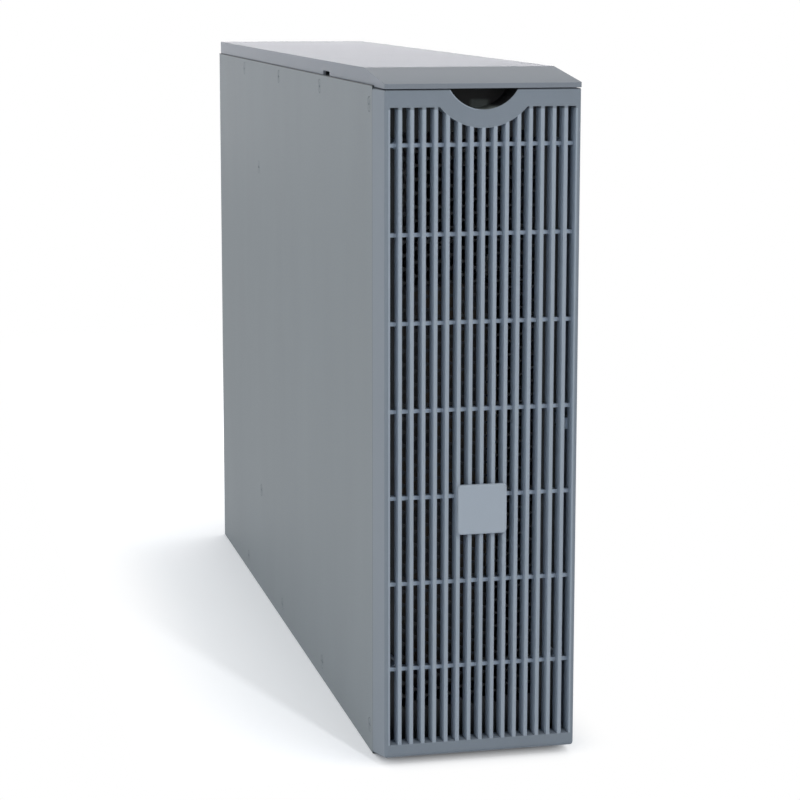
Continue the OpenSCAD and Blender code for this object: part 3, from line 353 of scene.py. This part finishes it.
def lead_sleeve(name, colour):
    """Insulation of a lead: slightly waxy, with faint draw lines and a cloudy film of dust."""
    f = Finish(name)
    draw = f.lumps(0.8 * MM, 2, along=(1, 0.2, 1))
    dust = f.lumps(8 * MM, 3)
    return f.surface(f.shade(colour, 0.85 + 0.25 * dust + 0.1 * (draw - 0.5)), 0.38 + 0.2 * dust,
                     normal=f.relief(draw, 0.05 * MM, 0.4))


# Painted light and shade that belong to one place on the bezel, the cap or the cover

BEZEL_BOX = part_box("bezel")
CAP_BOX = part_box("top_cap")
COVER_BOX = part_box("side_cover")
GRILLE_HALF = 60.4 * MM
GRILLE_LOW = 14.7 * MM
GRILLE_TOP = BEZEL_BOX[1].z - 12.3 * MM
NOTCH_R = 25 * MM
NOTCH_RING = 11.3 * MM
NOTCH_Z = BEZEL_BOX[1].z - 12.6 * MM + NOTCH_R
SEAM = 0.8 * MM
SEAM_DARK = 0.3 * SEAM
SQUARE_ON = (0.80, 0.95)
# Painted light on the grille: bar fronts, ribs and slot walls lifted, and a painted highlight on the notch
# rim.
BAR_PAINTED_LIGHT = 0.48
RIB_PAINTED_LIGHT = 0.50
WALL_PAINTED_LIGHT = 0.90
RIM_PAINTED_HIGHLIGHT = 0.50
# Painted shade in the seams under the cap, behind the bezel and beside the lid.
PAINTED_SHADE = 0.60
BACK_PAINTED_SHADE = 0.70
LID_PAINTED_SHADE = 0.75
CASE_GREY = (0.262, 0.292, 0.312)
BEZEL_GREY = (0.262, 0.300, 0.345)
CAP_GREY = (0.266, 0.292, 0.330)
BADGE_GREY = (0.45, 0.505, 0.57)


def inside(along, low, high):
    """1 between two places on an axis and 0 outside them."""
    soft = 0.1 * MM
    return along.rise(low - soft, low + soft) * along.rise(high + soft, high - soft)


def from_notch(f):
    """Distance from the centre line of the finger notch."""
    place = f.node("ShaderNodeCombineXYZ", {}, {0: f.axis("X"), 2: f.axis("Z") - NOTCH_Z})
    return f.node("ShaderNodeVectorMath", {"operation": "LENGTH"}, {0: place}, out="Value")


def bezel_painted_light(f):
    """Painted light: bars, ribs and slot walls brighter than the plain border, and a painted highlight on
    the notch rim; painted shade in the joints at the back and under the cap.
    """
    face, back, top = BEZEL_BOX[0].y, BEZEL_BOX[1].y, BEZEL_BOX[1].z
    rim_half = 0.5 * MM
    ring_edge = NOTCH_R + NOTCH_RING
    ring = from_notch(f).rise(ring_edge - 0.3 * MM, ring_edge)
    left_half = f.axis("X").rise(0, -6 * MM)
    # A thin painted highlight along the left of the notch's edge.
    rim = inside(from_notch(f), NOTCH_R - rim_half, NOTCH_R + rim_half) * left_half
    wall = f.facing("X").rise(*SQUARE_ON)
    field = inside(f.axis("X"), -GRILLE_HALF, GRILLE_HALF) * inside(f.axis("Z"), GRILLE_LOW, GRILLE_TOP)
    joint = f.axis("Y").rise(back - SEAM, back - SEAM_DARK)
    shade_under_cap = f.axis("Z").rise(top - SEAM, top - SEAM_DARK)
    front = f.facing("Y").rise(*SQUARE_ON)
    rib = f.axis("Y").rise(face + 4 * MM, face + 5 * MM)
    # Painted light on bar fronts, ribs and slot walls, a painted highlight on the rim, and painted shade in
    # the joints below.
    painted_lift = field * ring * (front * (BAR_PAINTED_LIGHT + RIB_PAINTED_LIGHT * rib) + WALL_PAINTED_LIGHT * wall) + RIM_PAINTED_HIGHLIGHT * rim
    return (1 + painted_lift) * (1 - BACK_PAINTED_SHADE * joint) * (1 - PAINTED_SHADE * shade_under_cap)


def finger_pocket(name):
    """Painted shade: the inside of the finger notch is painted nearly black, with a paler patch on its
    ledge that is painted light.
    """
    f = Finish(name)
    painted_shade_black, painted_light_on_ledge = (0.006, 0.006, 0.007), (0.16, 0.185, 0.175)
    grain = f.lumps(0.8 * MM, 2)
    foot = NOTCH_Z - NOTCH_R
    # The paler patch low in the pocket is painted light.
    across = f.axis("X").rise(-4 * MM, -1 * MM) * f.axis("X").rise(11 * MM, 7 * MM)
    ledge = across * f.axis("Z").rise(foot + 6 * MM, foot + 4 * MM)
    return f.surface(f.shade(f.blend(ledge, painted_shade_black, painted_light_on_ledge), 0.9 + 0.2 * grain), 0.55 + 0.1 * grain,
                     normal=f.relief(grain, 0.05 * MM, 0.5))


def cap_seam_shade(f):
    """Painted shade in the joint between the lid and the case."""
    foot = CAP_BOX[0].z
    return 1 - LID_PAINTED_SHADE * f.axis("Z").rise(foot + SEAM, foot + SEAM_DARK)


def cover_seam_shade(f):
    """Painted shade along the top edge of the cover and its edge beside the bezel."""
    front, top = COVER_BOX[0].y, COVER_BOX[1].z
    shade_under_cap = f.axis("Z").rise(top - SEAM, top - SEAM_DARK)
    shade_beside_bezel = f.axis("Y").rise(front + SEAM, front + SEAM_DARK)
    return (1 - PAINTED_SHADE * shade_under_cap) * (1 - PAINTED_SHADE * shade_beside_bezel)


finishes = {
    "case_paint": powder_coat("case_paint", CASE_GREY),
    "side_paint": powder_coat("side_paint", CASE_GREY, local=cover_seam_shade),
    # Painted shade: the screen is painted dark to stand in for the shade behind the grille.
    "screen_paint": screen_sheet("screen_paint", (0.050, 0.054, 0.056)),
    "zinc": zinc_plate("zinc"),
    "galvanised": spangled_sheet("galvanised", (0.55, 0.56, 0.57)),
    "core_steel": lamination_stack("core_steel"),
    "copper": wound_turns("copper", (0.56, 0.24, 0.09), wire=1.8 * MM),
    "bobbin_nylon": plain_moulding("bobbin_nylon", (0.62, 0.58, 0.45), 0.45),
    "wrap_film": wrap_tape("wrap_film"),
    "clamp_paint": powder_coat("clamp_paint", (0.028, 0.030, 0.033), 0.34),
    "bush_fibre": fibre("bush_fibre", (0.42, 0.27, 0.13)),
    "pad_rubber": rubber("pad_rubber", (0.020, 0.020, 0.020)),
    "black_nylon": plain_moulding("black_nylon", (0.020, 0.021, 0.023), 0.48),
    "block_plastic": plain_moulding("block_plastic", (0.030, 0.036, 0.040), 0.36),
    "brass": turned_brass("brass"),
    "lead_red": lead_sleeve("lead_red", (0.42, 0.020, 0.014)),
    "lead_black": lead_sleeve("lead_black", (0.018, 0.018, 0.019)),
    "lead_green": lead_sleeve("lead_green", (0.020, 0.230, 0.050)),
    "rotor_plastic": plain_moulding("rotor_plastic", (0.030, 0.031, 0.034), 0.42),
    "lever_plastic": plain_moulding("lever_plastic", (0.016, 0.016, 0.017), 0.26, grain=1.2),
    "button_plastic": plain_moulding("button_plastic", (0.44, 0.022, 0.014), 0.24, grain=1.2, gleam=0.1),
    "outlet_plastic": plain_moulding("outlet_plastic", (0.035, 0.035, 0.038), 0.30, grain=1.0),
    "gland_plastic": plain_moulding("gland_plastic", (0.028, 0.029, 0.033), 0.44),
    "seal_rubber": rubber("seal_rubber", (0.040, 0.040, 0.042)),
    "bezel_plastic": satin_moulding("bezel_plastic", BEZEL_GREY, local=bezel_painted_light),
    "badge_plastic": satin_moulding("badge_plastic", BADGE_GREY, 0.40),
    "cap_plastic": satin_moulding("cap_plastic", CAP_GREY, 0.34, gloss=0.03, local=cap_seam_shade),
}
pocket_painted_shade = finger_pocket("pocket_painted_shade")


# Pieces with soft edges

slots = {part["node"]: part["material_slot"] for part in frame["record"]["subparts"]}
NEAR = 0.05 * MM
SHARP_TURN = math.radians(30)
FLAT_TURN = math.radians(0.6)
WELD = 0.002 * MM
SPECK = 0.001 * MM
SOFT_EDGES = {
    "side_cover": 0.35, "case_pan": 0.35, "rear_panel": 0.3, "cover_screws": 0.15, "panel_screws": 0.2,
    "outlets": 0.4, "twist_outlet": 0.4, "twist_screws": 0.15, "breaker_body": 0.4, "breaker_lever": 0.4,
    "reset_breakers": 0.3, "reset_nuts": 0.2, "reset_button_upper": 0.4, "reset_button_lower": 0.4,
    "fan_frame": 0.5, "fan_guard": 0.2, "fan_screws": 0.15, "fan_rotor": 0.3,
    "gland_body": 0.4, "gland_dome": 0.5, "gland_nut": 0.4, "gland_seal": 0.4,
    "earth_stud": 0.2, "earth_nut": 0.2, "screen_frame": 0.2, "air_baffle": 0.2, "wall_brackets": 0.2,
    "terminal_block": 0.3, "thermal_switch": 0.3, "clamp_angles": 0.3, "bobbin": 0.4, "outer_wrap": 0.4,
    "clamp_bolts": 0.2,
}


def is_sharp(edge):
    return len(edge.link_faces) == 2 and edge.calc_face_angle(0) > SHARP_TURN


def round_edges(mesh, picked, width, steps):
    bmesh.ops.bevel(mesh, geom=[e for e in mesh.edges if is_sharp(e) and picked(e)], offset=width,
                    offset_type="OFFSET", segments=steps, profile=0.5, affect="EDGES",
                    clamp_overlap=True, loop_slide=True)


def every_edge(edge):
    return True


def softened(node, *rounds):
    """Copy of a CAD solid with its edges rounded, first the picked ones and then the rest."""
    mesh = bmesh.new()
    mesh.from_mesh(nodes[node].data)
    bmesh.ops.remove_doubles(mesh, verts=mesh.verts, dist=WELD)
    bmesh.ops.dissolve_limit(mesh, angle_limit=FLAT_TURN, verts=mesh.verts, edges=mesh.edges)
    for picked, width, steps in rounds:
        round_edges(mesh, picked, width, steps)
    bmesh.ops.dissolve_degenerate(mesh, dist=SPECK, edges=mesh.edges)
    for face in mesh.faces:
        face.smooth = True
    data = bpy.data.meshes.new(node + "_soft")
    mesh.to_mesh(data)
    mesh.free()
    data.materials.append(finishes[slots[node]])
    piece = bpy.data.objects.new(node + "_soft", data)
    bpy.context.scene.collection.objects.link(piece)
    firm = piece.modifiers.new("firm_flats", "WEIGHTED_NORMAL")
    firm.weight = 100
    firm.keep_sharp = True
    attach(piece, body_of(nodes[node])[0])
    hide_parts(node)
    return piece


def front_bezel():
    """The grille moulding: 1.8 mm on its outer edges, a fine radius on bars, slots and ribs."""
    low, high = BEZEL_BOX
    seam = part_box("case_pan")[0].y
    side_taper = 1.5 * MM
    foot_climb = 7 * MM
    longest_slot_edge = 20 * MM
    shortest_corner = 300 * MM
    pocket_mouth = 1.5 * MM

    def outer(edge):
        a, b = (v.co for v in edge.verts)
        side = (abs(abs(a.x) - abs(b.x)) < side_taper
                and min(abs(a.x), abs(b.x)) > high.x - side_taper)
        front = max(a.y, b.y) < low.y + NEAR
        foot = max(a.z, b.z) < foot_climb and max(a.y, b.y) < seam - NEAR
        runs_back = abs(a.y - b.y) > longest_slot_edge and max(a.y, b.y) < seam + NEAR
        from_face = min(a.y, b.y) < low.y + NEAR
        upright = abs(a.z - b.z) > shortest_corner
        return (side and (front and upright or runs_back and from_face)) or (foot and front)

    piece = softened("bezel", (outer, 1.8 * MM, 4), (every_edge, 0.35 * MM, 2))
    # Painted shade: faces inside the finger notch, behind its mouth, take the nearly black pocket finish.
    piece.data.materials.append(pocket_painted_shade)
    for face in piece.data.polygons:
        reach = math.hypot(face.center.x, face.center.z - NOTCH_Z)
        if reach < NOTCH_R + NEAR and face.center.y > low.y + pocket_mouth:
            face.material_index = 1


def top_cap():
    """The lid: rounded front corners, small radii along its other edges."""
    low, high = CAP_BOX
    shortest_corner = 1 * MM

    def corner(edge):
        a, b = (v.co for v in edge.verts)
        upright = abs(a.z - b.z) > shortest_corner
        return upright and max(a.y, b.y) < low.y + NEAR and abs(a.x) > high.x - NEAR

    softened("top_cap", (corner, 2.0 * MM, 4), (every_edge, 0.5 * MM, 3))


def front_badge():
    """The square badge with a broad soft border and nothing on its face."""
    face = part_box("badge")[0].y

    def rim(edge):
        return all(v.co.y < face + NEAR for v in edge.verts)

    softened("badge", (rim, 1.1 * MM, 3), (every_edge, 0.25 * MM, 2))


front_bezel()
top_cap()
front_badge()
for name, width in SOFT_EDGES.items():
    softened(name, (every_edge, width * MM, 2))

for name, node in nodes.items():
    node.data.materials.clear()
    node.data.materials.append(finishes[slots[name]])


# Studio

WHITE = (1, 1, 1)
FILL_TINT = (0.93, 0.97, 1.0)
FILL = 0.46
LANE_FILL = 0.1 * FILL
FLOOR_GLOW = 0.80
FLOOR_HALF = 9.0
FLOOR_DROP = 0.2 * MM
PAPER = (0.82, 0.84, 0.87)
OPEN_REACH = 0.25
CASE_FRONT = (0, -0.34, 0.22)
CASE_MIDDLE = (0, 0, 0.22)
CASE_REAR_TOP = (0, 0.20, 0.44)


def studio_air():
    """White where the camera sees it, else a soft fill that leaves a dark lane in front of the grille."""
    world = bpy.data.worlds.new("studio_air")
    bpy.context.scene.world = world
    world.use_nodes = True
    world.node_tree.nodes.clear()
    g = Graph(world.node_tree)
    way = g.node("ShaderNodeTexCoord", out="Generated")
    across = g.node("ShaderNodeSeparateXYZ", {}, {0: way}, out=0)
    along = g.node("ShaderNodeSeparateXYZ", {}, {0: way}, out=1)
    side_fade, front_fade = (0.20, 0.34), (0.0, -0.4)
    lane = (1 - abs(across).rise(*side_fade)) * along.rise(*front_fade)
    soft = g.node("ShaderNodeBackground", {}, {"Color": FILL_TINT, "Strength": FILL})
    dark = g.node("ShaderNodeBackground", {}, {"Color": FILL_TINT, "Strength": LANE_FILL})
    air = g.node("ShaderNodeMixShader", {}, {0: lane, 1: soft, 2: dark})
    white = g.node("ShaderNodeBackground", {}, {"Color": WHITE, "Strength": 1.0})
    both = g.node("ShaderNodeMixShader", {}, {0: g.seen(), 1: air, 2: white})
    g.node("ShaderNodeOutputWorld", {}, {"Surface": both})


def paper_near_case(f):
    """1 where the floor keeps its shadow, under and just left of the case, and 0 before and right of it."""
    left_fade, right_fade = (-0.22, -0.12), (0.10, 0.05)
    front_fade, round_fade = (-0.36, -0.315), (1.6, 0.7)
    strip = f.axis("X").rise(*left_fade) * f.axis("X").rise(*right_fade) * f.axis("Y").rise(*front_fade)
    reach = f.node("ShaderNodeVectorMath", {"operation": "LENGTH"}, {0: f.place}, out="Value")
    return reach.rise(*round_fade) * strip


def studio_floor():
    """A wide white sheet that keeps the soft shadow near the case and fades to white far from it."""
    mesh = bmesh.new()
    bmesh.ops.create_grid(mesh, x_segments=8, y_segments=8, size=FLOOR_HALF)
    data = bpy.data.meshes.new("studio_floor")
    mesh.to_mesh(data)
    mesh.free()
    floor = bpy.data.objects.new("studio_floor", data)
    floor.location.z = -FLOOR_DROP
    bpy.context.scene.collection.objects.link(floor)
    f = Finish("studio_paper")
    fibres = f.lumps(4 * MM, 2)
    f.surface(f.shade(PAPER, 0.985 + 0.03 * fibres), 0.9)
    far = 1 - paper_near_case(f)
    open_sky = f.node("ShaderNodeAmbientOcclusion", {"samples": 16}, {"Distance": OPEN_REACH}, out="AO")
    paper = Wire(f, f.shader.outputs[0])
    glow = f.node("ShaderNodeEmission", {}, {"Color": WHITE, "Strength": FLOOR_GLOW})
    white = f.node("ShaderNodeEmission", {}, {"Color": WHITE, "Strength": 1.0})
    pale = f.node("ShaderNodeAddShader", {}, {0: paper, 1: glow})
    lit = f.seen() * open_sky * (0.5 + 0.5 * open_sky)
    near = f.node("ShaderNodeMixShader", {}, {0: lit, 1: paper, 2: pale})
    both = f.node("ShaderNodeMixShader", {}, {0: f.seen() * far, 1: near, 2: white})
    f.feed(f.tree.nodes["Material Output"].inputs["Surface"], both)
    data.materials.append(f.material)


def softbox(name, place, aim, size, power, gloss_only=False, tint=WHITE):
    """A rectangular lamp that the camera doesn't see; one for gloss only lights no matt surface."""
    lamp = bpy.data.lights.new(name, "AREA")
    lamp.color = tint
    lamp.shape = "RECTANGLE"
    lamp.size, lamp.size_y = size
    lamp.energy = power
    box = bpy.data.objects.new(name, lamp)
    box.location = place
    box.rotation_euler = (Vector(aim) - Vector(place)).to_track_quat("-Z", "Y").to_euler()
    box.visible_camera = False
    box.visible_diffuse = not gloss_only
    bpy.context.scene.collection.objects.link(box)


def camera():
    """The photograph's viewpoint, for a square frame of 800 pixels."""
    frame_px, focal_px = 800, 2371.8
    centre_px = (-4, -40)
    sensor = 36
    place = (-0.37880, -1.76172, 0.49947)
    yaw, pitch, roll = (math.radians(a) for a in (13.0357, 9.2079, 0.0702))
    ahead = Vector((math.sin(yaw) * math.cos(pitch), math.cos(yaw) * math.cos(pitch), -math.sin(pitch)))
    right = Vector((math.cos(yaw), -math.sin(yaw), 0))
    up = right.cross(ahead)
    right, up = (right * math.cos(roll) + up * math.sin(roll), up * math.cos(roll) - right * math.sin(roll))
    data = bpy.data.cameras.new("photo_camera")
    data.sensor_width = sensor
    data.lens = focal_px / frame_px * sensor
    data.shift_x, data.shift_y = (offset / frame_px for offset in centre_px)
    data.clip_start, data.clip_end = 0.05, 50
    view = bpy.data.objects.new("photo_camera", data)
    turn = Matrix((right, up, -ahead)).transposed().to_4x4()
    view.matrix_world = Matrix.Translation(place) @ turn
    bpy.context.scene.collection.objects.link(view)
    bpy.context.scene.camera = view


studio_air()
studio_floor()
softbox("key_strip", (0.55, -2.55, 2.75), CASE_FRONT, (0.12, 0.8), 27)
softbox("key_box", (1.25, -2.34, 1.32), CASE_FRONT, (1.2, 1.0), 3.5)
softbox("left_box", (-1.57, -2.21, 1.11), CASE_FRONT, (1.4, 1.0), 8)
softbox("side_box", (-2.60, 0.10, 1.20), CASE_MIDDLE, (1.6, 1.2), 10.5)
softbox("back_card", (0.80, 3.20, 0.45), CASE_REAR_TOP, (2.4, 0.7), 23, gloss_only=True, tint=(1, 0.95, 1))
camera()
bpy.context.scene.view_settings.view_transform = "Standard"
